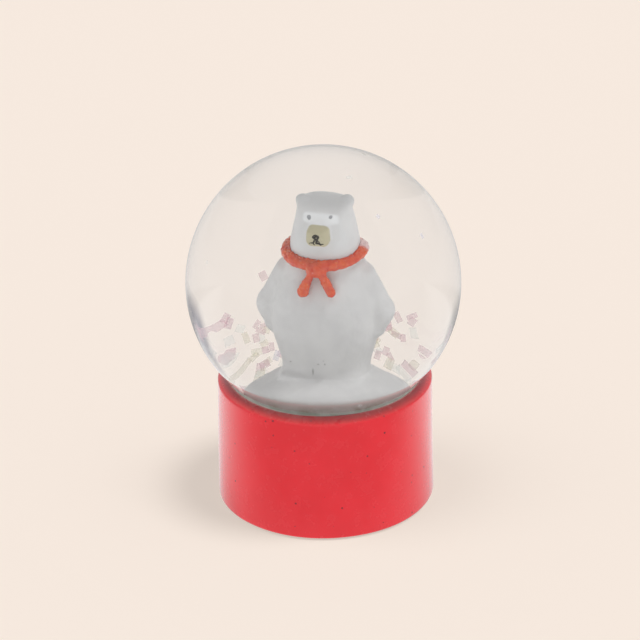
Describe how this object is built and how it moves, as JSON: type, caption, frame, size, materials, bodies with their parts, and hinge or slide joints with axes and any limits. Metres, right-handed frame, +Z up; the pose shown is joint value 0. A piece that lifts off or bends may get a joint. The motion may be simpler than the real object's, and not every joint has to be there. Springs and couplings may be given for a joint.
{
  "type": "snow globe",
  "caption": "Mini snow globe: a glass ball of liquid and iridescent flakes on a cylinder base, round a standing bear with a scarf.",
  "frame": {"origin": "centre of the foot, on the plane that the globe stands on", "axes": "+Z up along the ball's axis; the bear faces -Y"},
  "size_m": [0.045, 0.045, 0.0606],
  "materials": {
    "red_resin": "cast resin under glossy red paint",
    "pad": "matte foam rubber",
    "adhesive": "cured adhesive",
    "glass": "clear polished glass",
    "stopper": "grey rubber",
    "cement": "two-part cement",
    "figure": "cast resin with off-white paint",
    "scarf_paint": "orange-red paint on cast resin",
    "liquid": "clear liquid",
    "flakes": "iridescent film"
  },
  "bodies": {
    "globe": {"base": "red_resin", "foot_pad": "pad", "ball_adhesive": "adhesive", "glass_ball": "glass", "stopper": "stopper", "stopper_sealant": "adhesive", "peg_cement": "cement", "snow_ground": "figure", "bear": "figure", "scarf": "scarf_paint", "liquid": "liquid"},
    "flake_bank": {"flakes_pearl": "flakes", "flakes_clear": "flakes", "flakes_stray": "flakes"},
    "rising_flakes": {"flakes_rising": "flakes"},
    "drifting_flakes": {"flakes_drifting": "flakes"}
  },
  "joints": [
    {"name": "flakes_swirl", "type": "hinge", "parent": "globe", "child": "flake_bank", "pos_m": [0, 0, 0.03815], "axis": [0, 0, 1], "continuous": true},
    {"name": "flakes_rise", "type": "slide", "parent": "flake_bank", "child": "rising_flakes", "axis": [0, 0, 1], "range_m": [0, 0.02], "deforming": ["liquid"]},
    {"name": "flakes_drift", "type": "slide", "parent": "flake_bank", "child": "drifting_flakes", "axis": [0.0408, -0.1919, 0.9806], "range_m": [0, 0.024]}
  ]
}
